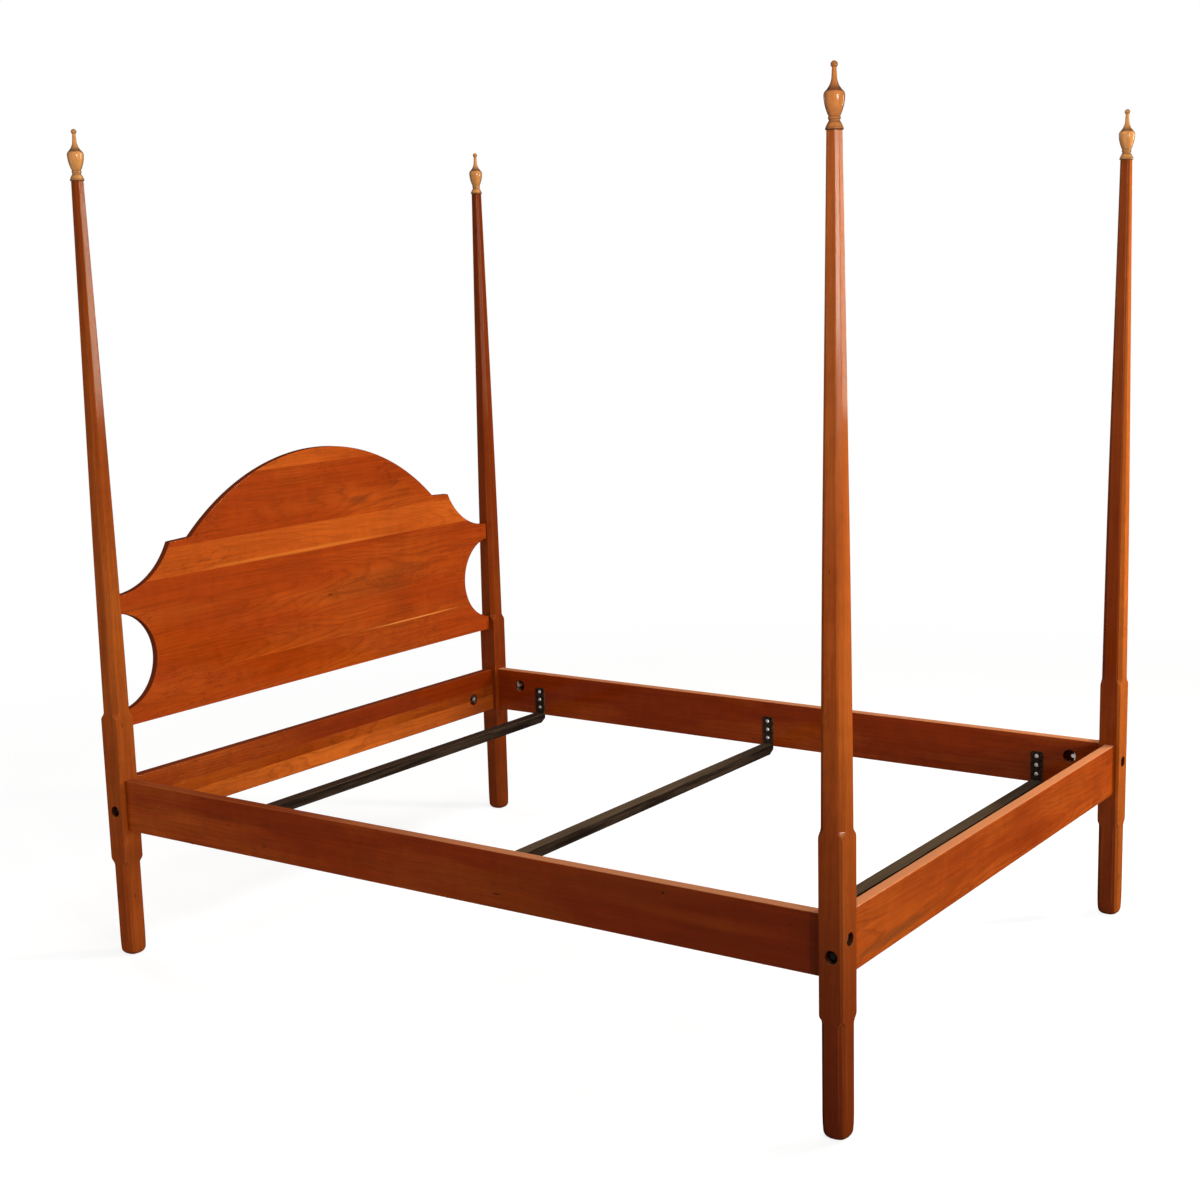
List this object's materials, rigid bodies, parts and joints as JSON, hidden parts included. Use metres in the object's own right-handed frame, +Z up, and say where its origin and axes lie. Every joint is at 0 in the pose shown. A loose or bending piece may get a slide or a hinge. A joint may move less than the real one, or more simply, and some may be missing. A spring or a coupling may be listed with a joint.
{
  "type": "poster bed",
  "caption": "Poster bed with tapered octagonal posts, turned lift-off finials, an arched headboard, bolted rails and steel cross irons for a box spring.",
  "frame": {"origin": "on the floor, midway between the four feet", "axes": "+X across the bed, +Y towards the headboard, +Z up"},
  "size_m": [1.631, 2.158, 2.1215],
  "materials": {
    "post_wood": "reddish brown stained wood, satin lacquer",
    "finial_wood": "lighter golden brown wood, satin lacquer",
    "board_wood": "reddish brown glued-up boards, satin lacquer",
    "rail_wood": "reddish brown wood, satin lacquer",
    "iron_steel": "dark bronze, satin",
    "screw_steel": "zinc plated, satin",
    "bolt_steel": "zinc plated, satin",
    "pin_steel": "plain steel"
  },
  "bodies": {
    "bed": {"post_head_left": "post_wood", "post_head_right": "post_wood", "post_foot_left": "post_wood", "post_foot_right": "post_wood", "headboard": "board_wood", "head_rail": "rail_wood", "foot_rail": "rail_wood", "side_rail_left": "rail_wood", "side_rail_right": "rail_wood", "cross_iron_head": "iron_steel", "cross_iron_middle": "iron_steel", "cross_iron_foot": "iron_steel", "iron_screws_head": "screw_steel", "iron_screws_middle": "screw_steel", "iron_screws_foot": "screw_steel", "side_rail_bolts": "bolt_steel", "end_rail_bolts": "bolt_steel", "side_bolt_washers": "bolt_steel", "end_bolt_washers": "bolt_steel", "side_half_moon_washers": "bolt_steel", "end_half_moon_washers": "bolt_steel", "side_rail_nuts": "bolt_steel", "end_rail_nuts": "bolt_steel"},
    "finial_assembly_head_left": {"finial_head_left": "finial_wood", "finial_pin_head_left": "pin_steel"},
    "finial_assembly_head_right": {"finial_head_right": "finial_wood", "finial_pin_head_right": "pin_steel"},
    "finial_assembly_foot_left": {"finial_foot_left": "finial_wood", "finial_pin_foot_left": "pin_steel"},
    "finial_assembly_foot_right": {"finial_foot_right": "finial_wood", "finial_pin_foot_right": "pin_steel"}
  },
  "joints": [
    {"name": "finial_lift_head_left", "type": "slide", "parent": "bed", "child": "finial_assembly_head_left", "axis": [0, 0, 1], "range_m": [0, 0.04]},
    {"name": "finial_lift_head_right", "type": "slide", "parent": "bed", "child": "finial_assembly_head_right", "axis": [0, 0, 1], "range_m": [0, 0.04]},
    {"name": "finial_lift_foot_left", "type": "slide", "parent": "bed", "child": "finial_assembly_foot_left", "axis": [0, 0, 1], "range_m": [0, 0.04]},
    {"name": "finial_lift_foot_right", "type": "slide", "parent": "bed", "child": "finial_assembly_foot_right", "axis": [0, 0, 1], "range_m": [0, 0.04]}
  ]
}
